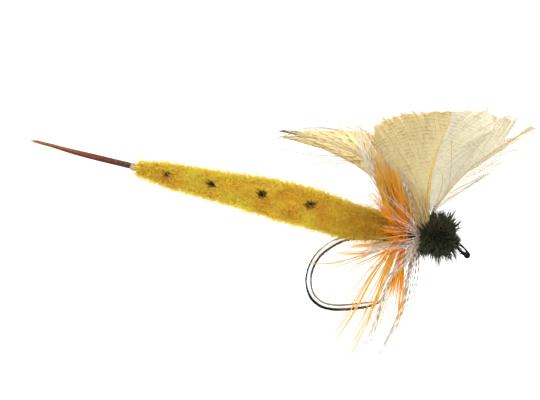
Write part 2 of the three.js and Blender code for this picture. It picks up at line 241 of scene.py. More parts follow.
class Paint:
    """A node material: a Principled shader, and short calls that add nodes to it."""

    def __init__(self, name, roughness, **sockets):
        self.material = bpy.data.materials.new(name)
        self.material.use_nodes = True
        self.tree = self.material.node_tree
        self.shader = next(n for n in self.tree.nodes if n.type == "BSDF_PRINCIPLED")
        self.output = next(n for n in self.tree.nodes if n.type == "OUTPUT_MATERIAL")
        self.shader.inputs["Roughness"].default_value = roughness
        for key, value in sockets.items():
            self.shader.inputs[key.replace("_", " ")].default_value = value

    def add(self, kind, **facts):
        node = self.tree.nodes.new(kind)
        for key, value in facts.items():
            setattr(node, key, value)
        return node

    def put(self, socket, value):
        """Links another node's output to the socket, or sets it to a number or a hex colour."""
        if isinstance(value, bpy.types.NodeSocket):
            self.tree.links.new(value, socket)
        else:
            socket.default_value = rgb(value) if isinstance(value, str) else value

    def value(self, name):
        return self.add("ShaderNodeAttribute", attribute_name=name).outputs["Fac"]

    def noise(self, per_mm, detail=3.0, stretch=None):
        node = self.add("ShaderNodeTexNoise")
        where = self.add("ShaderNodeTexCoord").outputs["Object"]
        if stretch:
            scaled = self.add("ShaderNodeMapping")
            self.put(scaled.inputs["Vector"], where)
            scaled.inputs["Scale"].default_value = stretch
            where = scaled.outputs["Vector"]
        self.put(node.inputs["Vector"], where)
        node.inputs["Scale"].default_value = per_mm / MM
        node.inputs["Detail"].default_value = detail
        node.inputs["Roughness"].default_value = NOISE_ROUGHNESS
        return node.outputs["Fac"]

    def math(self, operation, a, b=0.0):
        node = self.add("ShaderNodeMath", operation=operation)
        self.put(node.inputs[0], a)
        self.put(node.inputs[1], b)
        return node.outputs[0]

    def plus(self, a, b):
        return self.math("ADD", a, b)

    def times(self, a, b):
        return self.math("MULTIPLY", a, b)

    def ramp(self, factor, stops):
        node = self.add("ShaderNodeValToRGB")
        while len(node.color_ramp.elements) < len(stops):
            node.color_ramp.elements.new(0.5)
        for element, (place, code) in zip(node.color_ramp.elements, stops):
            element.position = place
            element.color = rgb(code) if isinstance(code, str) else [code, code, code, 1]
        self.put(node.inputs["Fac"], factor)
        return node.outputs["Color"]

    def mix(self, factor, a, b):
        node = self.add("ShaderNodeMix", data_type="RGBA")
        colour_a, colour_b = (s for s in node.inputs if s.type == "RGBA")
        self.put(node.inputs["Factor"], factor)
        self.put(colour_a, a)
        self.put(colour_b, b)
        return next(s for s in node.outputs if s.type == "RGBA")

    def colour(self, value):
        self.base = value
        self.put(self.shader.inputs["Base Color"], value)
        return self

    def rough(self, value):
        self.put(self.shader.inputs["Roughness"], value)
        return self

    def bump(self, height, depth_mm, strength=1.0):
        node = self.add("ShaderNodeBump")
        node.inputs["Strength"].default_value = strength
        node.inputs["Distance"].default_value = depth_mm * MM
        self.put(node.inputs["Height"], height)
        self.put(self.shader.inputs["Normal"], node.outputs["Normal"])
        return self

    def lets_light_through(self, share, colour=None):
        """Thin feather and fibre pass a share of the light, in the surface's colour or a given one."""
        through = self.add("ShaderNodeBsdfTranslucent")
        self.put(through.inputs["Color"], colour or self.base)
        both = self.add("ShaderNodeMixShader")
        both.inputs[0].default_value = share
        self.tree.links.new(self.shader.outputs[0], both.inputs[1])
        self.tree.links.new(through.outputs[0], both.inputs[2])
        self.tree.links.new(both.outputs[0], self.output.inputs["Surface"])
        return self


# ======== finishes ========
def thread(name, deep, lit):
    p = Paint(name, 0.62, Sheen_Weight=0.1)
    p.colour(p.ramp(p.noise(22, detail=2), [(0.25, deep), (0.75, lit)]))
    return p.bump(p.noise(60, detail=2), 0.01, 0.6).material


def steel():
    p = Paint("nickelled_wire", 0.14, Metallic=1.0)
    worn = p.noise(1.3, detail=4)
    drawn = p.noise(9, detail=3, stretch=(0.15, 1, 1))
    bright = p.ramp(worn, [(0.3, "d9dadd"), (0.7, "f2f2f4")])
    p.colour(p.mix(p.value("dark"), bright, "2b2723"))
    p.rough(p.plus(p.times(drawn, 0.12), 0.07))
    return p.bump(drawn, 0.004, 0.35).material


def blackened():
    """The eye: wire under a broken film of black cement."""
    p = Paint("cemented_eye", 0.22, Metallic=1.0)
    p.colour(p.ramp(p.noise(2.6, detail=3), [(0.3, "1d1a18"), (0.4, "9a9a9a"), (0.48, "ffffff")]))
    return p.bump(p.noise(3, detail=2), 0.02, 0.5).material


def quill(name, deep, body, lit):
    """A feather's stem: mottled, darker at its root and paler towards its tip, and glossy."""
    p = Paint(name, 0.3, Coat_Weight=0.25)
    streak = p.noise(6, detail=4)
    tone = p.ramp(streak, [(0.2, deep), (0.5, body), (0.8, lit)])
    p.colour(p.mix(p.times(p.value("share"), 0.55), tone, lit))
    p.bump(streak, 0.01, 0.5)
    return p.lets_light_through(0.25).material


SPECK = "6e5424"


def web(name, pale, tan, edge, period, depth, through=0.45, rim="dcb87c"):
    """Feather web: fine wavy bars that follow circles about the root, and barbs that differ a little."""
    p = Paint(name, 0.65, Specular_IOR_Level=0.05)
    quick = p.times(p.noise(2.2, detail=3), 0.9)
    waver = p.times(p.plus(p.noise(0.45, detail=2), quick), 11)
    turns = p.times(p.value("radial"), math.tau / period)
    wave = p.ramp(p.math("SINE", p.plus(turns, waver)), [(0.0, 0.0), (0.85, 1.0)])
    broken = p.ramp(p.noise(1.1, detail=4), [(0.38, 0.0), (0.65, 1.0)])
    outer = p.ramp(p.times(p.value("radial"), 0.11), [(0.35, 0.3), (0.8, 1.0)])
    bars = p.times(p.times(wave, broken), p.times(outer, depth))
    ground = p.mix(p.times(p.value("each"), 0.35), pale, edge)
    grain = p.ramp(p.noise(4.5, detail=3), [(0.5, 0.0), (0.68, 1.0)])
    freckled = p.mix(p.times(grain, 0.6 * depth), ground, tan)
    marked = p.mix(bars, freckled, tan)
    tipped = p.mix(p.ramp(p.value("share"), [(0.9, 0.0), (1.0, 0.5)]), marked, rim)
    p.colour(p.mix(p.value("mark"), tipped, SPECK))
    p.bump(p.noise(14, detail=2), 0.01, 0.3)
    return p.lets_light_through(through).material


def fibre(name, deep, body, tip, light, bar, through=0.35):
    """Hackle barbs: the colour runs from root to tip, and bars cross them where the feather had them."""
    p = Paint(name, 0.5, Specular_IOR_Level=0.0)
    along_it = p.plus(p.value("share"), p.times(p.value("each"), 0.3))
    run = p.ramp(along_it, [(0.02, deep), (0.3, body), (1.0, tip)])
    odd = p.ramp(p.value("each"), [(0.55, 0.0), (0.9, 0.8)])
    faded = p.mix(p.value("pale"), p.mix(odd, run, light), tip)
    unfaded = p.math("SUBTRACT", 1.0, p.value("pale"))
    mottled = p.mix(p.times(p.times(p.noise(5, detail=3), 0.3), unfaded), faded, body)
    p.colour(p.mix(p.value("mark"), mottled, bar))
    p.bump(p.noise(30, detail=2), 0.008, 0.4)
    return p.lets_light_through(through).material


PEN = "352a1c"


def felt():
    """The body's golden pile: mottled gold, paler at the fibre tips and, as painted rim light, on the body's
    top and bottom, darker towards the front end as painted shade, with dark pen marks.
    """
    p = Paint("golden_pile", 0.85, Specular_IOR_Level=0.15, Sheen_Weight=0.2)
    p.put(p.shader.inputs["Sheen Tint"], "f3d777")
    gold = p.ramp(p.noise(0.55, detail=4), [(0.34, "eaae1c"), (0.5, "fbd034"), (0.66, "fff25e")])
    varied = p.mix(p.times(p.value("each"), 0.6), gold, "fff284")
    # Paler at the fibre tips, and on the body's top and bottom as painted rim light.
    tips_and_painted_rim = p.mix(p.times(p.value("tip"), 0.95), varied, "fff568")
    # Painted shade: a darker gold towards the body's front end.
    front_shaded = p.mix(p.times(p.value("front"), 0.6), tips_and_painted_rim, "cf961c")
    p.colour(p.mix(p.value("mark"), front_shaded, PEN))
    p.bump(p.noise(7, detail=3), 0.06, 0.7)
    # The let-through colour is also paler at the fibre tips and at the painted rim light.
    let_through_with_painted_rim = p.mix(p.times(p.value("tip"), 0.8), front_shaded, "fffbb0")
    return p.lets_light_through(0.5, p.mix(p.value("mark"), let_through_with_painted_rim, PEN)).material


def mahogany():
    p = Paint("tail_fibres", 0.38, Coat_Weight=0.15)
    run = p.plus(p.value("share"), p.times(p.value("each"), 0.35))
    tone = p.ramp(run, [(0.05, "54402e"), (0.3, "5a2a16"), (0.75, "74361c"), (1.15, "b4714a")])
    p.colour(p.mix(p.ramp(p.noise(4, detail=3), [(0.45, 0.0), (0.7, 0.7)]), tone, "98502a"))
    p.bump(p.noise(25, detail=2), 0.008, 0.5)
    return p.lets_light_through(0.15).material


def peacock():
    """Herl: near black, with green, bronze and purple glints from barb to barb."""
    p = Paint("peacock_herl", 0.3, Specular_IOR_Level=0.7)
    odd = p.times(p.math("SUBTRACT", p.value("each"), 0.5), 0.5)
    hues = [(0.2, "0c140c"), (0.42, "1a3319"), (0.55, "33482a"), (0.68, "4a3826"), (0.85, "5c2a30")]
    glint = p.ramp(p.plus(p.noise(2.2, detail=2), odd), hues)
    p.colour(p.mix(p.ramp(p.value("share"), [(0.5, 0.0), (1.0, 0.45)]), glint, "5a5640"))
    p.rough(p.plus(p.times(p.noise(8), 0.3), 0.2))
    return p.material


def varnish():
    p = Paint("head_cement", 0.08, Coat_Weight=1.0)
    p.colour(p.ramp(p.noise(3, detail=3), [(0.3, "0d0b0a"), (0.7, "221b16")]))
    return p.bump(p.noise(1.6, detail=1), 0.03, 0.5).material


def stiff_core():
    p = Paint("stiff_core", 0.3, Coat_Weight=0.4)
    p.colour(p.ramp(p.noise(2, detail=3), [(0.3, "cbbf95"), (0.7, "e4dcbf")]))
    return p.bump(p.noise(12), 0.01, 0.4).lets_light_through(0.3).material


# ======== pieces and what they stand for ========
ROOT = "hook_and_dressing"


def show(ob, body, node):
    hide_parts(node)
    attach(ob, body)


def upright(points, y=0.0):
    """Points given as (x, z), in the plane at y."""
    return [(x, y, z) for x, z in points]


# ---- hook ----
EYE_DOWN = math.radians(47)
EYE_R = 0.62
EYE_WIRE_R = 0.2
EYE_COAT = 0.09
EYE_SPAN = (173, -180)
WIRE_R = 0.25
FORGED_Y = 0.21
FORGED_Z = 0.29
SHANK_Z = 1.1
NECK = 0.06
HOOK_LINE = upright([
    (-0.42, 0.45), (-0.75, 0.78), (-1.2, 1.03), (-1.9, SHANK_Z), (-4, SHANK_Z), (-7, SHANK_Z), (-9.3, 1.08),
    (-10.29, 0.85), (-11.48, 0.17), (-12.28, -0.55), (-12.85, -1.6), (-13.05, -2.7), (-12.75, -3.9),
    (-12, -4.62), (-11, -4.9), (-9.5, -4.88), (-7.75, -4.63), (-6.33, -4.2),
])


def wire_size(t, turn):
    """The wire's section: round on the shank, forged flat from the bend on, and ground to a point."""
    forged = np.clip((t - 0.3) / 0.12, 0, 1)
    point = np.clip((1 - t) / 0.085, 0.03, 1) ** 0.9
    y = (WIRE_R + (FORGED_Y - WIRE_R) * forged) * point
    z = (WIRE_R + (FORGED_Z - WIRE_R) * forged) * point
    return y * np.cos(turn), z * np.sin(turn)


def make_hook():
    samples = 420
    near_eye = np.clip(1 - (np.arange(samples) / samples) / NECK, 0, 1)[:, None]
    wire = loft("hook_wire", spline(HOOK_LINE, samples), wire_size, 24, steel(), dark=near_eye)
    down = np.array((math.cos(EYE_DOWN), 0, -math.sin(EYE_DOWN)))
    ring = EYE_R * spokes(np.radians(np.linspace(*EYE_SPAN, 90)), down, Y)
    section = round_section(EYE_WIRE_R + EYE_COAT)
    eye = loft("hook_eye", ring, section, 20, blackened(), side=np.cross(down, Y))
    for ob in (wire, eye):
        show(ob, ROOT, "hook")


# ---- thread ----
TIE_Z = 1.34


def helix(line, radius, turns, steps=14, tall=1.0):
    """A helix round a line, with radii from its start to its end and stretched upright by tall."""
    n = int(turns * steps) + 1
    t = np.linspace(0, 1, n)
    centre = along(np.asarray(line, float), t)
    way = unit(np.gradient(centre, axis=0))
    up = unit(np.cross(way, Y))
    up *= np.sign(up[:, 2:3])
    r = np.interp(t, np.linspace(0, 1, len(radius)), radius)[:, None]
    angle = (math.tau * turns * t)[:, None]
    return centre + r * (np.cos(angle) * up * tall + np.sin(angle) * Y), way[n // 2]


def wraps(node, body, line, radius, material, thick=0.05, tall=1.0, lay=1.8):
    """Thread wound edge to edge round a line, over a core of the turns below."""
    line = spline(line, 40)
    turns = max(2, length_of(line) / (thick * lay))
    coil, axis = helix(line, radius, turns, tall=tall)
    jitter = rng(len(node)).normal(0, thick * 0.16, (len(coil), 1))
    coil += unit(coil - along(line, np.linspace(0, 1, len(coil)))) * jitter
    cord = loft(node + "_thread", coil, round_section(thick), 6, material, side=axis)
    under = np.interp(np.linspace(0, 1, 40), np.linspace(0, 1, len(radius)), radius)

    def core(t, turn):
        r = np.interp(t, np.linspace(0, 1, 40), under)
        return r * np.cos(turn), r * tall * np.sin(turn)

    for ob in (cord, loft(node + "_under", line, core, 20, material)):
        show(ob, body, node)


def shank(a, b, z=SHANK_Z):
    return upright([(a, z), ((a + b) / 2, z), (b, z)])


def wound_quill(node, line, radius, turns, thick, material, tall=1.0):
    coil, axis = helix(line, radius, turns, steps=24, tall=tall)
    share = np.linspace(0, 0.5, len(coil))[:, None]
    section = round_section(lambda t: thick * (1.1 - 0.3 * t))
    show(loft(node + "_stem", coil, section, 8, material, side=axis, share=share), ROOT, node)


def coat_radius(t):
    """The cement coat is fullest in its middle, and rounded off at both ends."""
    across = 2 * t - 1
    return (0.45 - 0.05 * across**2) * np.sqrt(np.clip(1 - across**8, 0.02, 1))


def make_threads():
    dark = thread("black_thread", "0d0b09", "2e2924")
    low, high = box_mm("thread_base")
    brown = thread("waxed_thread", "3a2412", "7a4a1e")
    wraps("thread_base", ROOT, shank(low[0], high[0]), (0.33, 0.33), brown, 0.04)
    wraps("hackle_gap_wraps", ROOT, shank(-4.42, -4.08), (0.42, 0.44, 0.42), dark, 0.04)
    wraps("wing_root_wraps", ROOT, shank(-3.5, -2.1, 1.2), (0.5, 0.58, 0.58, 0.5), dark, 0.045)
    rust = thread("rust_thread", "6b3410", "a75a22")
    wraps("body_tie_wraps", ROOT, shank(-5.9, -4.55, TIE_Z), (0.44, 0.47, 0.44), rust, 0.04, tall=1.36)
    pale = thread("pale_thread", "8d7c5b", "cbb992")
    tail_tie = upright([(-27.5, 6.95), (-27.85, 7.04), (-28.15, 7.12)])
    wraps("tail_wraps", "detached_body", tail_tie, (0.26, 0.31, 0.27), pale, 0.035)
    neck = spline(HOOK_LINE, 500)
    wraps("head_wraps", ROOT, neck[12:27:2], (0.34, 0.36, 0.34), dark, 0.035)
    cement = loft("cement_coat", spline(neck[10:29:2], 60), round_section(coat_radius), 32, varnish())
    show(cement, ROOT, "head_cement")
    stem = quill("orange_stem", "8a4a12", "bf6f1f", "e0a050")
    wound_quill("orange_hackle_quill", shank(-5.85, -4.68, TIE_Z), (0.6, 0.6), 4, 0.085, stem, tall=1.33)
    stem = quill("grizzly_stem", "9c8a72", "c4b59c", "e6dcca")
    wound_quill("grizzly_hackle_quill", shank(-4.0, -3.62), (0.5, 0.5), 3, 0.06, stem)
    stem = quill("herl_stem", "1b1c12", "2c2d1b", "46472c")
    wound_quill("herl_quill", shank(-2.0, -1.62), (0.8, 0.8), 2, 0.07, stem)


# ---- detached body ----
BODY_LINE = upright([
    (-6.15, 2.0), (-7.6, 2.12), (-9.4, 2.42), (-12.4, 3.38), (-16.5, 4.46), (-20.6, 5.38), (-24.6, 6.26),
    (-27.5, 6.95),
])
BODY_END = (-27.15, 0, 6.86)
BODY_R = (1.0, 1.34, 1.5, 1.58, 1.58, 1.47, 1.3, 1.16, 1.05, 0.9, 0.52)
CORE_R = 0.2
FELT_DEPTH = 0.2  # how far the felt skin lies below the pile's surface
ROOT_DEPTH = 0.24
FRONT_SHADE_SHARE = 0.3  # how much of the body, from its front end, is darkened to a deeper gold as painted shade
# Each pen mark's middle (x, z), then half its width and height.
PEN_MARKS = (
    (-25.0, 6.44, 0.46, 0.34),
    (-21.25, 5.62, 0.48, 0.46),
    (-17.0, 4.78, 0.56, 0.46),
    (-12.9, 3.86, 0.58, 0.46),
)
PILE_FIBRES = 14500


def body_radius(t):
    return np.interp(t, np.linspace(0, 1, len(BODY_R)), BODY_R)


def pen_mark(points, r):
    """1 inside a ragged pen mark on either side of the body."""
    mark = np.zeros(points.shape[:-1])
    for x, z, half_x, half_z in PEN_MARKS:
        d = np.hypot((points[..., 0] - x) / half_x, (points[..., 2] - z) / half_z)
        angle = np.arctan2(points[..., 2] - z, points[..., 0] - x)
        ragged = 0.88 + 0.18 * np.sin(7 * angle + 3 * x) + 0.1 * np.sin(11 * angle + x)
        mark = np.maximum(mark, np.clip((ragged + r.normal(0, 0.12, d.shape) - d) / 0.35, 0, 1))
    return mark


def make_body():
    pile = felt()
    r = rng(3)
    line = spline(BODY_LINE, 200)
    way = unit(np.gradient(line, axis=0))
    for ob in (felt_skin(r, pile, line), *pile_fibres(r, pile, line, way)):
        show(ob, "detached_body", "body_pile")
    clear = stiff_core()
    core = loft("body_core_rod", spline(BODY_LINE, 60)[4:], round_section(CORE_R), 12, clear)
    show(core, "detached_body", "body_core")
    low, high = box_mm("body_core_tag")
    section = round_section((high[2] - low[2]) / 2)
    tag = loft("body_core_tag_rod", shank(low[0], high[0], (low[2] + high[2]) / 2), section, 12, clear)
    show(tag, ROOT, "body_core_tag")


def felt_skin(r, pile, line):
    """The matted skin that the pile stands on."""
    lumps = r.normal(0, 1, (12, 4))

    def skin(t, turn):
        rough = sum(a * np.sin(b * 9 * t * 6 + round(abs(c) * 3) * turn + d) for a, b, c, d in lumps)
        end = np.sqrt(np.clip((1 - t) / 0.006, 0.05, 1))
        radius = (body_radius(t) - FELT_DEPTH) * (1 + 0.003 * rough) * end
        return radius * np.cos(turn), radius * np.sin(turn)

    sides = 72
    turn = math.tau * np.arange(sides) / sides
    share = np.linspace(0, 1, len(line))
    under = unit(np.cross(np.gradient(line, axis=0), Y))
    around = line[:, None] + body_radius(share)[:, None, None] * spokes(turn, Y, under[:, None])
    # Painted shade on the skin, strongest at the body's front end.
    front = np.clip(1 - share / FRONT_SHADE_SHARE, 0, 1)[:, None]
    mark = pen_mark(around, r)
    return loft("body_felt", line, skin, sides, pile, mark=mark, front=front, tip=0.0, each=0.3)


def pile_fibres(r, pile, line, way):
    """Two coats of short golden fibres. The first has the longer hairs and the ragged rear end."""
    coats = []
    for name in ("body_pile_fibres", "body_pile_fuzz"):
        t = r.uniform(0, 1, PILE_FIBRES)
        t = t[r.random(PILE_FIBRES) < body_radius(t) / 1.6 + 0.1]
        n = len(t)
        turn = r.uniform(0, math.tau, n)
        axis = between(way, t)
        out = spokes(turn, Y, unit(np.cross(axis, Y)))
        foot = along(line, t) + out * (body_radius(t) - ROOT_DEPTH)[:, None]
        length = r.gamma(6, 0.068, n)[:, None]
        lean = axis * r.normal(0.35, 0.75, (n, 1)) + np.cross(axis, out) * r.normal(0, 0.75, (n, 1))
        mid = foot + (out * 0.6 + lean * 0.15) * length
        end = foot + (out * r.uniform(0.6, 1.0, (n, 1)) + lean * 0.6) * length
        batch = Batch()
        # Painted rim light: fibres on the body's top and bottom get paler tips, standing in for light
        # through the fuzz at its edges.
        lit = 0.3 + 0.7 * np.sin(turn)[:, None] ** 4
        tips = np.array((0.1, 0.8, 1.0)) * lit * r.uniform(0.5, 1, (n, 1))
        # Painted shade on the fibres, strongest at the body's front end.
        front = np.clip(1 - t / FRONT_SHADE_SHARE, 0, 1)
        mark = pen_mark(mid, r)
        width = (0.018, 0.018, 0.01)
        batch.add(bezier(foot, mid, end, 3), width, front=front, mark=mark, tip=tips, each=r.random(n))
        if not coats:
            rear_tufts(r, batch)
            loose_hairs(r, batch, line, way)
        coats.append(batch.object(name, pile))
    return coats


def loose_hairs(r, batch, line, way):
    """Longer pale hairs that lie flat on the pile."""
    n = 260
    t = r.uniform(0.03, 0.98, n)
    turn = r.uniform(0, math.tau, n)
    axis = between(way, t)
    out = spokes(turn, Y, unit(np.cross(axis, Y)))
    foot = along(line, t) + out * body_radius(t)[:, None]
    heading = unit(axis * r.normal(0, 1, (n, 1)) + np.cross(axis, out) * r.normal(0, 0.7, (n, 1)))
    length = r.uniform(0.4, 1.0, (n, 1))
    mid = foot + heading * length * 0.5 + out * 0.16
    end = foot + heading * length + out * r.uniform(-0.1, 0.2, (n, 1))
    width = (0.02, 0.02, 0.019, 0.017, 0.014, 0.006)
    batch.add(bezier(foot, mid, end, 6), width, front=[0.0], mark=[0.0], tip=[1.0], each=r.random(n))


def rear_tufts(r, batch):
    """The pile's ragged rear end, where its longest fibres stand out round the tail."""
    n = 190
    turn = r.uniform(0, math.tau, n)
    back = unit(np.array((-0.97, 0, 0.23)))
    out = spokes(turn, Y, np.array((0.23, 0, 0.97)))
    foot = BODY_END + out * r.uniform(0.15, 0.6, (n, 1)) + back * r.uniform(-0.2, 0.3, (n, 1))
    length = r.uniform(0.15, 0.65, (n, 1))
    mid = foot + (back * 0.5 + out * 0.1) * length
    end = foot + (back * r.uniform(0.5, 1.1, (n, 1)) + out * r.normal(0.15, 0.3, (n, 1))) * length
    tips = np.broadcast_to(np.linspace(0.5, 1, 5), (n, 5))
    width = (0.03, 0.028, 0.024, 0.018, 0.008)
    batch.add(bezier(foot, mid, end, 5), width, front=[0.0], mark=[0.0], tip=tips, each=r.random(n))


# ---- tail ----
TAIL_LINE = upright([(-27.6, 7.02), (-28.4, 7.2), (-30.5, 7.7), (-33.0, 8.32), (-35.2, 8.95), (-36.9, 9.35)])
TAIL_STRANDS = 34
TAIL_WISPS = 34


def make_tail():
    """A bundle of strands that part a little on the way to its tip, with fine wisps beside them."""
    r = rng(11)
    n = TAIL_STRANDS
    middle = spline(TAIL_LINE, 60)
    upward = np.array((0.2, 0, 0.97))
    paths = np.zeros((n, 24, 3))
    reach = r.uniform(0.62, 1.0, n)
    reach[:4] = (1.0, 0.97, 0.94, 0.9)
    spread = r.normal(0, 1, (n, 2))
    for i in range(n):
        t = np.linspace(0, reach[i], 24)
        opened = np.minimum(t / 0.07, 1)
        swollen = np.exp(-(((t - 0.45) / 0.25) ** 2))
        fan = (0.055 + 0.07 * opened + 0.02 * swollen - 0.07 * t)[:, None]
        wander = 0.05 * np.sin(3 * t + 6 * spread[i, 0])[:, None]
        paths[i] = along(middle, t) + fan * (spread[i, 0] * Y + (spread[i, 1] + wander) * upward)
    width = np.interp(np.linspace(0, 1, 24), (0, 0.25, 0.55, 0.9, 1), (0.045, 0.055, 0.055, 0.03, 0.006))
    batch = Batch().add(paths, width * r.uniform(0.7, 1.25, (n, 1)), sides=5, each=r.random(n))
    n = TAIL_WISPS
    foot = along(middle, r.uniform(0.3, 0.97, n))
    end = foot + np.stack([r.uniform(-0.9, -0.3, n), r.normal(0, 0.16, n), r.normal(0.22, 0.14, n)], axis=1)
    width = (0.012, 0.011, 0.009, 0.007, 0.004)
    batch.add(bezier(foot, (foot + end) / 2 + (0, 0, 0.04), end, 5), width, each=r.random(n))
    show(batch.object("tail_strands", mahogany()), "tail", "tail_fibres")


# ---- feathers ----
WING_SPLAY = 13  # degrees
CUP = 0.008  # how fast a web's outer part bends inwards
BARB_THIN = 0.012
BARB_HUG = 0.6  # how far the outer barbs turn along the quill before they leave it
QUILL_BARE = 0.01  # shares of the quill between which barbs grow
QUILL_END = 0.97
NEAR_ROOT = (-3.0, -0.38, 3.1)
FAR_ROOT = (-2.42, 0.38, 3.2)
REAR_ROOT = (-3.55, 0.06, 2.95)


class Feather:
    """A quill in a plane that leans out from its root, and a web of separate barbs on each side of it."""

    def __init__(self, name, root, lean, side, quill_points, thick):
        self.name = name
        self.root = np.array(root)
        self.side = side
        self.thick = thick
        self.slope = math.tan(math.radians(lean))
        self.rachis = spline([self.root[[0, 2]], *quill_points], 200)

    def place(self, flat, out=0.0):
        """(x, z) points to points in the feather's plane, out mm from it towards its outer face."""
        y = self.root[1] + self.side * ((flat[..., 1] - self.root[2]) * self.slope + out)
        return np.stack([flat[..., 0], y, flat[..., 1]], axis=-1)

    def stem(self, material, tip=0.03):
        section = round_section(lambda t: self.thick + (tip - self.thick) * t**0.75)
        share = np.linspace(0, 1, len(self.rachis))[:, None]
        ob = loft(self.name + "_stem", self.place(self.rachis), section, 12, material, share=share)
        show(ob, self.name, self.name + "_quill")

    def web(self, part, rim, barbs, material, seed, bias=1.7, ends=(0.45, 1.0), ragged=0.05, wide=0.027,
            steps=16, marks=None, loose=0.0, zipped=0.9, tufts=((0, 1), (1, 1))):
        """Barbs from the quill to the rim, the lowest ones closest to it, over a zipped skin."""
        r = rng(seed)
        rim = spline(rim, 200)
        batch = Batch()

        def curves(i, stretch):
            share = QUILL_BARE + (QUILL_END - QUILL_BARE) * i**bias
            foot = along(self.rachis, share)
            way = unit(along(self.rachis, np.clip(share + 0.03, 0, 1)) - foot + 1e-9)
            end = along(rim, np.clip(ends[0] + (ends[1] - ends[0]) * i, 0, 1))
            end = foot + (end - foot) * (stretch * np.interp(i, *tufts))[:, None]
            reach = np.linalg.norm(end - foot, axis=1, keepdims=True)
            lead = unit(unit(end - foot) + BARB_HUG * i[:, None] * way)
            return bezier(foot, foot + lead * reach * 0.5, end, steps)

        def facts(flat, i):
            gone = np.linalg.norm(flat - flat[:, :1], axis=-1)
            radial = np.linalg.norm(flat - self.root[[0, 2]], axis=-1)
            mark = marks(flat, gone, i, r) if marks else np.zeros(gone.shape)
            return gone, {"radial": radial, "mark": mark}

        t = np.linspace(0, 1, steps)
        i = np.linspace(0, 1, 160)
        flat = curves(i, zipped)
        gone, known = facts(flat, i)
        batch.sheet(self.place(flat, -CUP * gone**2), each=r.random((160, 1)), share=t, **known)
        i = np.sort(np.clip((np.arange(barbs) + r.normal(0.5, 0.2, barbs)) / barbs, 0, 1))
        clumps = np.interp(i, np.linspace(0, 1, barbs // 6), r.normal(0, 1, barbs // 6))
        flat = curves(i, 1 + ragged * (0.8 * clumps + 0.5 * r.normal(0, 1, barbs) - 0.3))
        if loose:
            stray = r.normal(0, loose, (barbs, 1, 2))
            flat = flat + t[:, None] ** 2 * stray + 0.3 * loose * np.sin(7 * t[:, None] + 20 * stray)
        gone, known = facts(flat, i)
        lift = 0.01 + r.normal(0, 0.01, (barbs, 1)) * gone / 3 - CUP * gone**2
        width = np.interp(t, (0, 0.15, 0.85, 1), (0.5, 1, 1, 0.3)) * wide * r.uniform(0.7, 1.2, (barbs, 1))
        batch.add(self.place(flat, lift), width, BARB_THIN, each=r.random(barbs), **known)
        self.show(batch, f"{part}_barbs", material, part)

    def wisps(self, part, lines, material, wide, lift, dark=0.0):
        """Separate loose barbs along the given lines, up to dark at their tips."""
        batch = Batch()
        for line in lines:
            tip = dark * np.clip(np.linspace(-1.2, 1.0, 30), 0, 1)
            width = np.linspace(1.0, 0.34, 30) * wide
            path = self.place(spline(line, 30), lift)
            batch.add(path[None], width[None], BARB_THIN, mark=tip[None], each=[0.4], radial=[0.0])
        self.show(batch, f"{part}_loose_barbs", material, part)

    def show(self, batch, name, material, part):
        show(batch.object(f"{self.name}_{name}", material), self.name, f"{self.name}_{part}")


SPECKS = ((-3.5, 6.6), (-4.4, 5.5), (-3.2, 5.15), (-4.15, 3.9), (-3.15, 3.9))


def few_specks(flat, gone, i, r):
    """A few small dark specks low on the wing."""
    mark = np.zeros(gone.shape)
    for x, z in SPECKS:
        mark = np.maximum(mark, np.hypot((flat[..., 0] - x) / 0.07, (flat[..., 1] - z) / 0.2) < 1)
    return mark


def rows_of_marks(flat, gone, i, r):
    """Rows of short dark blotches across the barbs, and dark tips."""
    rows = np.sin(math.tau * (gone / 0.8 + 0.5 * np.round(8 * i)[:, None]))
    blotch = np.clip((rows - 0.45) / 0.3, 0, 1) * (np.cos(math.tau * 8 * i) > 0.1)[:, None]
    behind = np.clip((-8.2 - flat[..., 0]) / 0.8, 0, 1) * np.clip((flat[..., 0] + 13.8) / 0.8, 0, 1)
    tips = np.clip((-13.3 - flat[..., 0]) / 1.4, 0, 1) * (r.random((len(i), 1)) < 0.6)
    return np.clip(0.6 * blotch * behind + 0.9 * tips, 0, 1)


# Loose barbs beside the far wing's quill, as (x, z): a tan strip to the tip, then thin ones below it.
FAR_STRIP = [
    [(0.3, 6.4), (1.8, 7.55), (3.3, 8.55), (5.0, 9.65), (6.3, 10.15)],
    [(0.9, 6.75), (2.2, 7.6), (3.8, 8.6), (5.4, 9.6), (6.8, 10.3)],
    [(1.4, 7.35), (2.6, 8.2), (4.3, 9.3), (5.7, 10.2), (6.5, 10.8)],
    [(1.0, 7.05), (2.4, 7.9), (4.0, 8.95), (5.6, 9.95), (6.6, 10.5)],
    [(1.6, 7.35), (3.0, 8.25), (4.5, 9.2), (6.0, 9.9), (6.9, 10.1)],
    [(2.0, 7.5), (3.6, 8.5), (5.2, 9.4), (6.6, 9.8)],
    [(2.4, 7.95), (4.2, 9.15), (5.8, 10.15), (6.4, 10.6)],
]
FAR_THIN = [
    [(-0.2, 5.7), (2.2, 7.0), (4.6, 8.5), (6.3, 9.6)],
    [(0.5, 6.2), (2.6, 7.5), (4.8, 8.9), (6.6, 9.85)],
    [(-0.9, 4.8), (1.4, 6.1), (3.8, 7.5), (6.0, 9.0)],
    [(-1.2, 4.3), (1.0, 5.5), (3.2, 6.9), (5.4, 8.5)],
    [(1.6, 6.6), (3.0, 7.6), (3.9, 8.8), (4.3, 9.3)],
]
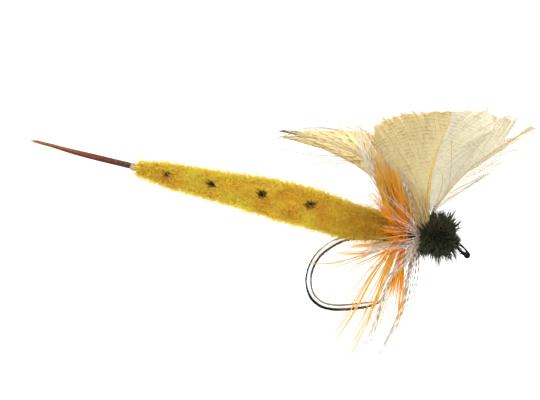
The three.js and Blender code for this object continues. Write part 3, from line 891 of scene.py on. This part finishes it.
# Loose barbs at the rear feather's tip, as (x, z): the dark ones cross there.
REAR_WISPS = [
    [(-10.2, 9.0), (-11.8, 9.45), (-13.6, 9.6), (-14.7, 9.95), (-15.6, 10.4)],
    [(-9.6, 9.9), (-11.4, 10.3), (-13.2, 10.35), (-14.4, 10.0), (-15.2, 9.55)],
    [(-10.4, 9.6), (-12.2, 9.8), (-13.8, 9.9), (-15.2, 9.7), (-16.0, 9.35)],
    [(-10.8, 8.4), (-12.4, 9.1), (-13.8, 9.6), (-15.0, 10.1)],
    [(-9.0, 7.9), (-11.4, 8.0), (-13.2, 8.15), (-14.8, 8.45), (-16.1, 8.85)],
    [(-8.4, 7.6), (-10.0, 7.6), (-12.0, 7.45), (-13.3, 7.1)],
    [(-8.4, 7.5), (-10.0, 7.45), (-11.4, 7.1), (-12.5, 6.5)],
    [(-7.6, 9.5), (-8.7, 10.4), (-9.7, 10.85), (-10.8, 11.15)],
    [(-7.8, 9.2), (-8.9, 10.1), (-9.9, 10.5), (-10.7, 10.65)],
    [(-7.8, 9.0), (-9.6, 10.0), (-11.0, 10.3), (-12.6, 10.5)],
]


# Lines of the quills and the rims of the webs, as (x, z) from the root to the tip.
NEAR_QUILL = [(-2.8, 6.1), (-2.42, 7.9), (-1.94, 9.35), (-1.25, 11.0)]
NEAR_REAR_RIM = [
    (-3.35, 3.95), (-5.1, 5.3), (-6.8, 7.3), (-7.75, 8.8), (-7.4, 10.7), (-5.7, 11.5), (-3.2, 11.7),
    (-1.15, 11.75),
]
NEAR_FRONT_RIM = [
    (-2.3, 3.5), (-1.0, 5.9), (1.0, 8.6), (2.6, 10.6), (2.2, 11.6), (0.9, 11.85), (-1.15, 11.75),
]
NEAR_CURLS = (
    [(-2.55, 3.4), (-2.1, 4.5), (-1.8, 5.6), (-1.87, 6.5), (-2.3, 7.1)],
    [(-2.5, 3.6), (-1.5, 4.7), (-1.2, 5.8), (-1.1, 7.2), (-1.15, 9.3)],
)
FAR_QUILL = [(-1.26, 4.65), (-0.08, 5.95), (1.1, 6.98), (3.5, 8.5), (5.6, 10.0)]
FAR_REAR_RIM = [
    (-2.2, 4.4), (-1.9, 6.6), (-1.2, 9.4), (0.4, 11.3), (2.4, 11.7), (4.0, 11.45), (5.1, 11.1), (6.0, 10.75),
    (6.6, 10.3),
]
FAR_NOTCH = ((0, 0.77, 0.8, 0.9, 0.93, 1), (1, 1, 0.45, 0.45, 1, 1))
FAR_FRONT_RIM = [(-1.1, 4.15), (0.4, 5.25), (2.9, 6.7), (5.1, 8.3), (6.6, 9.4), (6.9, 10.1)]
REAR_QUILL = [(-4.6, 4.1), (-6.0, 5.8), (-7.8, 7.5), (-10.4, 8.75), (-13.6, 9.75)]
REAR_UPPER_RIM = [
    (-4.3, 4.3), (-5.7, 6.9), (-7.3, 9.8), (-9.4, 10.6), (-11.6, 10.5), (-13.9, 10.25), (-15.9, 10.1),
]
REAR_LOWER_RIM = [(-4.9, 4.1), (-6.7, 6.3), (-8.4, 7.5), (-10.1, 7.95), (-12.4, 8.75), (-15.6, 9.6)]
BUTT_R = 0.12
# Each bound butt's foot on the shank, and the root of its feather.
BUTTS = (
    ("near_wing_butt", (-2.85, -0.2, 1.6), NEAR_ROOT),
    ("far_wing_butt", (-2.3, 0.2, 1.6), FAR_ROOT),
    ("rear_feather_butt", (-3.35, 0.05, 1.62), REAR_ROOT),
)


def make_near_wing():
    near = Feather("near_wing", NEAR_ROOT, WING_SPLAY, -1, NEAR_QUILL, 0.13)
    near.stem(quill("near_stem", "c79a24", "e4bb3e", "f2d67a"))
    look = web("near_rear_web", "f4e8b8", "94804c", "e8d89c", 0.31, 0.36)
    near.web("rear_web", NEAR_REAR_RIM, 360, look, 21, marks=few_specks, ragged=0.03, zipped=0.97)
    look = web("near_front_web", "f6f2de", "b09a6a", "ece2c0", 0.31, 0.28, rim="f0e8cc")
    near.web("front_web", NEAR_FRONT_RIM, 240, look, 22, ragged=0.035, zipped=0.96, ends=(0.08, 1.0))
    curls = Batch()
    for line in NEAR_CURLS:
        curls.add(near.place(spline(line, 40), 0.06)[None], 0.016, mark=[0.08], each=[0.5], radial=[0.0])
    look = web("near_curls", "d9bf85", "b99a5c", "cdb070", 0.34, 0.3)
    near.show(curls, "curled_barbs", look, "front_web")


def make_far_wing():
    far = Feather("far_wing", FAR_ROOT, WING_SPLAY, 1, FAR_QUILL, 0.07)
    far.stem(quill("far_stem", "dcc08c", "ecd6a8", "f7ecd0"), tip=0.02)
    look = web("far_rear_web", "faf5e2", "b89c6c", "f0e6c8", 0.31, 0.26, rim="d8a888")
    far.web("rear_web", FAR_REAR_RIM, 360, look, 23, zipped=0.95, tufts=FAR_NOTCH)
    look = web("far_front_web", "faf8f0", "d0c8b2", "f0ebdc", 0.4, 0.3, 0.5, rim="e0cfa8")
    far.web("front_web", FAR_FRONT_RIM, 100, look, 24, bias=1.2, ragged=0.14, wide=0.016, loose=0.1,
            zipped=0.8, ends=(0.3, 1.0))
    look = web("far_strip", "f6ecce", "dcc492", "eedfb6", 0.4, 0.3, rim="d8b88c")
    far.wisps("rear_web", FAR_STRIP, look, 0.05, -0.05)
    far.wisps("front_web", FAR_THIN, web("far_thin", "d8d2c0", "b8ac90", "c8bea4", 0.4, 0.3), 0.022, -0.05)


def make_rear_feather():
    rear = Feather("rear_feather", REAR_ROOT, 2, 1, REAR_QUILL, 0.08)
    rear.stem(quill("rear_stem", "a8843f", "cfae63", "ead9a8"), tip=0.02)
    straw = web("rear_web", "fcf0c4", "d8b870", "f4e2a4", 0.5, 0.2)
    soft = {"ragged": 0.06, "marks": rows_of_marks, "loose": 0.03, "steps": 26}
    rear.web("upper_web", REAR_UPPER_RIM, 120, straw, 25, zipped=0.92, **soft)
    look = web("rear_wisps", "d4b878", "7a5c34", "bc9a5c", 0.5, 0.3)
    rear.wisps("upper_web", REAR_WISPS, look, 0.042, -0.08, 1.0)
    rear.web("lower_web", REAR_LOWER_RIM, 90, straw, 26, bias=1.25, **soft)


def make_butts():
    stem = quill("butt_stem", "b5923c", "d9bf62", "ecdca0")
    for node, foot, top in BUTTS:
        line = np.linspace(foot, top, 12)
        share = np.linspace(0, 0.2, 12)[:, None]
        show(loft(node + "_stem", line, round_section(BUTT_R), 12, stem, share=share), ROOT, node)


# ---- hackles ----
# Where the main clumps of barbs run, as (x, z) from the collar outwards, with how many barbs there are,
# how far they stray, and then how pale they are or how strongly they are barred.
ORANGE_CLUMPS = [
    ([(-5.6, 0.6), (-7.65, -2.1), (-9.35, -4.9), (-11.3, -7.9)], 8, 0.35, 1.0),
    ([(-5.3, 0.5), (-6.6, -2.1), (-7.6, -4.7), (-9.95, -9.5)], 8, 0.3, 0.9),
    ([(-5.5, 0.4), (-6.9, -3.0), (-8.25, -5.8)], 8, 0.4, 0.9),
    ([(-5.1, 0.4), (-6.0, -2.6), (-6.9, -5.2), (-7.6, -8.0)], 4, 0.4, 0.5),
    ([(-4.95, 0.4), (-5.5, -2.1), (-5.9, -4.25)], 26, 0.26, 0.0),
    ([(-4.9, 0.4), (-5.3, -4.25), (-5.7, -7.5)], 9, 0.25, 0.2),
    ([(-5.4, 0.6), (-8.0, 0.45), (-9.9, 0.3)], 14, 0.22, 0.7),
    ([(-5.5, 0.5), (-8.25, -0.2), (-10.95, -0.15)], 4, 0.12, 0.8),
    ([(-5.5, 0.5), (-8.9, -0.7), (-10.8, -1.35), (-12.2, -1.3)], 3, 0.12, 0.9),
    ([(-5.5, 0.4), (-8.25, -0.95), (-10.5, -1.9)], 3, 0.15, 0.9),
    ([(-5.5, 0.5), (-9.0, -0.6), (-12.2, -1.1), (-14.1, -0.75)], 1, 0.05, 1.0),
    ([(-5.7, 1.3), (-6.2, 2.4), (-6.4, 3.6), (-6.6, 4.8)], 70, 0.25, 0.1),
    ([(-4.8, 1.6), (-5.1, 3.2), (-5.6, 5.0), (-6.3, 7.2)], 150, 0.3, 0.0),
    ([(-5.0, 1.8), (-5.3, 3.2), (-5.9, 4.8), (-6.5, 6.2)], 90, 0.25, 0.1),
    ([(-5.6, 1.9), (-6.2, 3.6), (-6.8, 5.4), (-7.4, 7.4)], 90, 0.28, 1.0),
    ([(-5.2, 1.9), (-6.0, 4.0), (-6.8, 6.2), (-7.5, 8.8)], 60, 0.35, 1.0),
    ([(-4.4, 1.6), (-4.4, 2.8), (-4.5, 3.8), (-4.8, 4.8)], 24, 0.25, 0.4),
    ([(-5.6, 1.6), (-6.3, 2.7), (-7.0, 3.9), (-7.6, 5.2)], 6, 0.25, 0.3),
    ([(-4.9, 1.3), (-5.8, 1.7), (-6.6, 2.1)], 110, 0.26, 0.0),
    ([(-4.5, 0.85), (-5.5, 0.9), (-6.5, 1.0)], 120, 0.24, 0.0),
]
SOFT_BAND = [(-3.8, 0.6), (-5.2, 0.35), (-6.6, 0.3), (-8.1, 0.2)]
# Straw barbs left on the near wing's stem where it is tied in.
STRAW_CLUMPS = [
    ([(-3.3, 1.9), (-4.5, 4.0), (-5.8, 6.2), (-7.0, 8.8)], 60, 0.45, 0.1),
    ([(-3.2, 1.9), (-3.6, 3.4), (-4.2, 5.0), (-5.2, 7.0)], 60, 0.35, 0.2),
    ([(-3.0, 1.9), (-3.0, 3.2), (-3.3, 4.6), (-3.8, 6.0)], 40, 0.25, 0.25),
]
GRIZZLY_CLUMPS = [
    ([(-4.1, 0.4), (-6.5, -3.4), (-7.5, -6.4), (-8.85, -9.35)], 8, 0.22, 1.0),
    ([(-3.9, 0.4), (-5.4, -5.95), (-7.2, -9.3), (-8.0, -9.95)], 8, 0.25, 1.0),
    ([(-3.8, 0.4), (-4.85, -3.8), (-5.0, -5.7)], 5, 0.25, 1.0),
    ([(-3.7, 0.4), (-4.5, -2.3), (-5.1, -3.5)], 6, 0.2, 1.0),
    ([(-3.75, 0.4), (-3.9, -2.0), (-4.9, -5.6)], 4, 0.2, 0.8),
    ([(-3.9, 0.9), (-4.3, 0.3), (-4.6, -0.6), (-4.8, -1.6)], 26, 0.2, 0.6),
    ([(-3.9, 0.7), (-6.5, 0.45), (-8.9, -0.65)], 50, 0.2, 0.3),
    ([(-3.8, 0.8), (-5.4, 0.65), (-6.9, 0.5), (-8.2, 0.2)], 60, 0.16, 0.1),
    ([(-3.9, 1.0), (-7.1, 1.0), (-8.5, 1.5), (-9.5, 2.4), (-9.8, 3.0)], 2, 0.08, 0.1),
    ([(-3.9, 1.5), (-6.2, 4.4), (-7.8, 7.2), (-8.4, 11.2)], 28, 0.38, 0.7),
    ([(-3.9, 1.5), (-6.6, 4.9), (-8.0, 7.4), (-8.6, 9.3), (-8.7, 11.5)], 30, 0.3, 0.1),
    ([(-3.9, 1.5), (-5.4, 3.6), (-6.6, 5.6), (-7.7, 8.4)], 9, 0.4, 0.8),
    ([(-3.9, 1.4), (-5.4, 2.4), (-6.6, 3.6), (-8.2, 5.2)], 8, 0.3, 0.5),
    ([(-3.7, 1.5), (-4.1, 3.2), (-4.6, 5.0), (-5.1, 7.0)], 12, 0.4, 0.8),
]


HACKLE_THIN = 0.014
BAR_SPACING = 0.6
COLLAR_BARBS = 80
COLLAR_R = 0.6
NEAR_SIDE = (210, 325)  # degrees round the shank from upright
FAR_SIDE = (35, 150)


def bars_across(r, count, t, length, spacing, start, rise, least):
    """How dark each barb is along its length, where bars cross it."""
    beat = np.sin(math.tau * (t[None] * length / spacing + r.uniform(0, 1, (count, 1))))
    return np.clip((beat - start) / rise, 0, 1) * r.uniform(least, 1, (count, 1))


def clump(batch, r, route, count, stray, y_far, wide, pale=0.0, bars=0.0):
    """Barbs along a route. They leave the collar side by side, and spread as they go."""
    t = np.linspace(0, 1, 30)
    base = spline(upright(route), 60)
    sides = np.where(np.arange(count) % 2, 1.0, -1.0)
    paths = np.zeros((count, 30, 3))
    for i in range(count):
        reach = 1.0 if i < 2 + count // 8 else 1.0 - abs(r.normal(0, 0.17))
        paths[i] = along(base, t * reach)
        off = r.normal(0, stray, 2)
        wave = 0.06 * np.sin(5 * t + r.uniform(0, 6))
        grow = 0.25 + 0.75 * t**1.2
        paths[i, :, 0] += off[0] * grow + wave
        paths[i, :, 2] += off[1] * grow * 0.6 + wave * 0.5
        paths[i, :, 1] = sides[i] * (0.3 + r.uniform(0, 0.3) + (y_far * r.uniform(0.25, 1)) * t**1.1)
    width = np.interp(t, (0, 0.2, 0.7, 0.95, 1), (0.8, 1, 0.75, 0.4, 0.1)) * wide
    mark = bars * bars_across(r, count, t, length_of(base), BAR_SPACING, 0.2, 0.3, 0.5)
    batch.add(paths, width * r.uniform(0.55, 1.3, (count, 1)), HACKLE_THIN, each=r.random(count), mark=mark,
              pale=np.full(count, pale))


def collar(batch, r, x, z, length, lean, bars=0.0):
    """Barbs all round the shank that sweep back, longest at the sides, clear of wings and hook point."""
    count = COLLAR_BARBS
    odd = np.arange(count) % 2
    turn = np.radians(np.where(odd, r.uniform(*FAR_SIDE, count), r.uniform(*NEAR_SIDE, count)))
    out = spokes(turn, UP, Y)
    foot = np.stack([r.uniform(*x, count), 0 * turn, 0 * turn + z], axis=1) + out * COLLAR_R
    beside = np.abs(np.sin(turn))[:, None] ** 3
    reach = length * (1 + 0.45 * beside) * r.uniform(0.65, 1.05, (count, 1))
    mid = foot + (out * 0.9 - X * 0.25) * reach * 0.5
    lean = lean * (1 - 0.35 * beside)
    end = foot + (out * np.cos(lean) - X * np.sin(lean)) * reach + r.normal(0, 0.25, (count, 3))
    t = np.linspace(0, 1, 18)
    width = np.interp(t, (0, 0.2, 0.7, 1), (0.8, 1, 0.6, 0.1)) * 0.03
    mark = bars * bars_across(r, count, t, length, 0.62, -0.15, 0.35, 0.35)
    width = width * r.uniform(0.55, 1.3, (count, 1))
    batch.add(bezier(foot, mid, end, 18), width, HACKLE_THIN, each=r.random(count), mark=mark)


def stouter_below(route, level, below, above):
    """Barbs that hang below a level are stouter than those that stand up."""
    return below if route[-1][1] < level else above


def make_hackles():
    r = rng(31)
    orange = Batch()
    for route, count, stray, pale in ORANGE_CLUMPS:
        clump(orange, r, route, count, stray, 1.6, stouter_below(route, 0, 0.05, 0.036), pale=pale)
    collar(orange, r, (-5.8, -4.7), 1.4, 5.0, 0.75)
    look = fibre("orange_hackle", "f06606", "ff9a14", "f4c858", "ffcc40", "c8741c")
    show(orange.object("orange_barbs", look), ROOT, "orange_hackle_barbs")
    barred = Batch()
    for route, count, stray, bars in GRIZZLY_CLUMPS:
        clump(barred, r, route, count, stray, 1.5, stouter_below(route, -3, 0.06, 0.04), bars=bars)
    clump(barred, r, SOFT_BAND, 110, 0.15, 2.6, 0.045, bars=0.5)
    collar(barred, r, (-4.0, -3.6), 1.2, 5.6, 0.7, bars=0.7)
    straw = Batch()
    for route, count, stray, bars in STRAW_CLUMPS:
        clump(straw, r, route, count, stray, 0.9, 0.04, bars=bars)
    look = fibre("butt_down", "d0b26a", "ecd694", "f8ecc4", "f4e2a8", "7a6238", 0.45)
    show(straw.object("near_wing_butt_down", look), ROOT, "near_wing_butt")
    look = fibre("grizzly_hackle", "f4e6d2", "fcf2e4", "fffdf8", "f4e6d2", "5a4530", 0.55)
    show(barred.object("grizzly_barbs", look), ROOT, "grizzly_hackle_barbs")


# ---- herl thorax ----
HERL_CENTRE = np.array((-2.1, 0, 1.15))
HERL_R = 1.75
HERL_ROOT_R = 0.7
NECK_START = np.array((-1.0, 0, 1.05))
NECK_WAY = np.array((0.5, 0, -0.45))


def make_herl():
    """A dense ball of short barbs, clumps of longer ones that stand out of it, and a few on the neck."""
    r = rng(41)
    n = 3000
    across = r.uniform(-1, 1, n)
    turn = r.uniform(0, math.tau, n)
    out = spokes(turn, UP, Y)
    surface = HERL_R * np.sqrt(np.clip(1 - np.abs(across) ** 2.4, 0.08, 1))
    way = unit(out + 0.6 * X * across[:, None] + r.normal(0, 0.3, (n, 3)))
    foot = HERL_CENTRE + 1.35 * X * across[:, None] + out * HERL_ROOT_R
    deep = np.maximum(surface - HERL_ROOT_R, 0.15)[:, None]
    length = deep * r.uniform(0.6, 1.08, (n, 1)) + r.gamma(1.6, 0.08, (n, 1))
    end = foot + way * length
    mid = (foot + end) / 2 + r.normal(0, 0.1, (n, 3))
    width = np.array((0.05, 0.05, 0.04, 0.008))
    batch = Batch().add(bezier(foot, mid, end, 4), width, 0.6 * width, each=r.random(n))
    n = 420
    turn = r.uniform(0, math.tau, n // 3).repeat(3) + r.normal(0, 0.07, n)
    lean = r.uniform(-1, 1, n // 3).repeat(3) + r.normal(0, 0.05, n)
    out = spokes(turn, UP, Y)
    way = unit(out + 0.7 * X * lean[:, None] + r.normal(0, 0.12, (n, 3)))
    foot = HERL_CENTRE + 1.1 * X * lean[:, None] + out * 0.8
    end = foot + way * (1.28 - 0.35 * np.abs(lean) + r.gamma(2.0, 0.15, n))[:, None]
    mid = (foot + end) / 2 + r.normal(0, 0.12, (n, 3))
    width = (0.05, 0.055, 0.055, 0.045, 0.03, 0.008)
    batch.add(bezier(foot, mid, end, 6), width, 0.03, each=r.random(n))
    n = 260
    down = r.random(n)[:, None]
    turn = r.uniform(0, math.tau, n)
    out = spokes(turn, np.array((0.35, 0, 0.94)), Y)
    foot = NECK_START + down * NECK_WAY + out * 0.2
    end = foot + (out * (0.55 - 0.3 * down) + np.array((0.25, 0, -0.15))) * r.uniform(0.6, 1.3, (n, 1))
    width = (0.05, 0.05, 0.035, 0.008)
    batch.add(bezier(foot, (foot + end) / 2, end, 4), width, 0.03, each=r.random(n))
    show(batch.object("herl_barbs", peacock()), ROOT, "herl_flue")


make_hook()
make_threads()
make_body()
make_tail()
make_near_wing()
make_far_wing()
make_rear_feather()
make_butts()
make_hackles()
make_herl()


# ======== stage ========
def panel(name, low, high, material):
    """A flat rectangle between two opposite corners that share one coordinate."""
    flat = next(k for k in range(3) if low[k] == high[k])
    a, b = (k for k in range(3) if k != flat)
    corners = [list(low) for _ in range(4)]
    corners[1][a] = corners[2][a] = high[a]
    corners[2][b] = corners[3][b] = high[b]
    mesh = bpy.data.meshes.new(name)
    mesh.from_pydata(corners, [], [(0, 1, 2, 3)])
    mesh.materials.append(material)
    ob = link(name, mesh)
    return ob


FLOOR_Z = -0.034
FLOOR_HALF = 0.9
paper = Paint("floor_paper", 0.9).colour("fbfbfb").material
panel("floor", (-FLOOR_HALF, -FLOOR_HALF, FLOOR_Z), (FLOOR_HALF, FLOOR_HALF, FLOOR_Z), paper)

# Black cards round the fly, seen only in reflections, give the bright wire its dark outlines.
black = Paint("black_card", 0.9).colour("050505").material
SIDE = 0.13
OPEN = -0.11
BACK = 0.14
UNDER = -0.03
for name, low, high in (
    ("card_left", (-SIDE, OPEN, -SIDE), (-SIDE, BACK, SIDE)),
    ("card_right", (SIDE, OPEN, -SIDE), (SIDE, BACK, SIDE)),
    ("card_over", (-SIDE, OPEN, SIDE), (SIDE, BACK, SIDE)),
    ("card_under", (-SIDE, OPEN, UNDER), (SIDE, BACK, UNDER)),
    ("card_behind", (-SIDE, BACK, -SIDE), (SIDE, BACK, SIDE)),
):
    card = panel(name, low, high, black)
    card.visible_camera = False
    card.visible_diffuse = False
    card.visible_transmission = False
    card.visible_shadow = False

world = bpy.data.worlds.new("studio")
bpy.context.scene.world = world
world.use_nodes = True
sky = world.node_tree.nodes["Background"]
sky.inputs["Color"].default_value = (1, 1, 1, 1)
sky.inputs["Strength"].default_value = 1.3


def lamp(name, place, aim, size, power):
    light = bpy.data.lights.new(name, "AREA")
    light.shape = "DISK"
    light.size = size
    light.energy = power
    ob = link(name, light)
    ob.location = place
    ob.rotation_euler = (Vector(aim) - Vector(place)).to_track_quat("-Z", "Y").to_euler()


lamp("key", (-0.09, -0.16, 0.2), (-0.015, 0, 0.004), 0.12, 0.22)
lamp("back_low", (-0.02, 0.11, -0.025), (-0.018, 0, 0.004), 0.08, 0.14)
lamp("back_high", (0.02, 0.14, 0.12), (-0.015, 0, 0.004), 0.1, 0.1)

camera_data = bpy.data.cameras.new("camera")
camera_data.lens = 100
camera_data.sensor_width = 36
camera_data.clip_start = 0.005
camera_data.clip_end = 3
camera = link("camera", camera_data)
TARGET = Vector((-0.01632, 0, 0.00425))
LIFT = math.radians(2)
DISTANCE = 0.1275
camera.location = TARGET + Vector((0, -math.cos(LIFT), math.sin(LIFT))) * DISTANCE
camera.rotation_euler = (TARGET - camera.location).to_track_quat("-Z", "Y").to_euler()
bpy.context.scene.camera = camera
bpy.context.scene.view_settings.view_transform = "Standard"
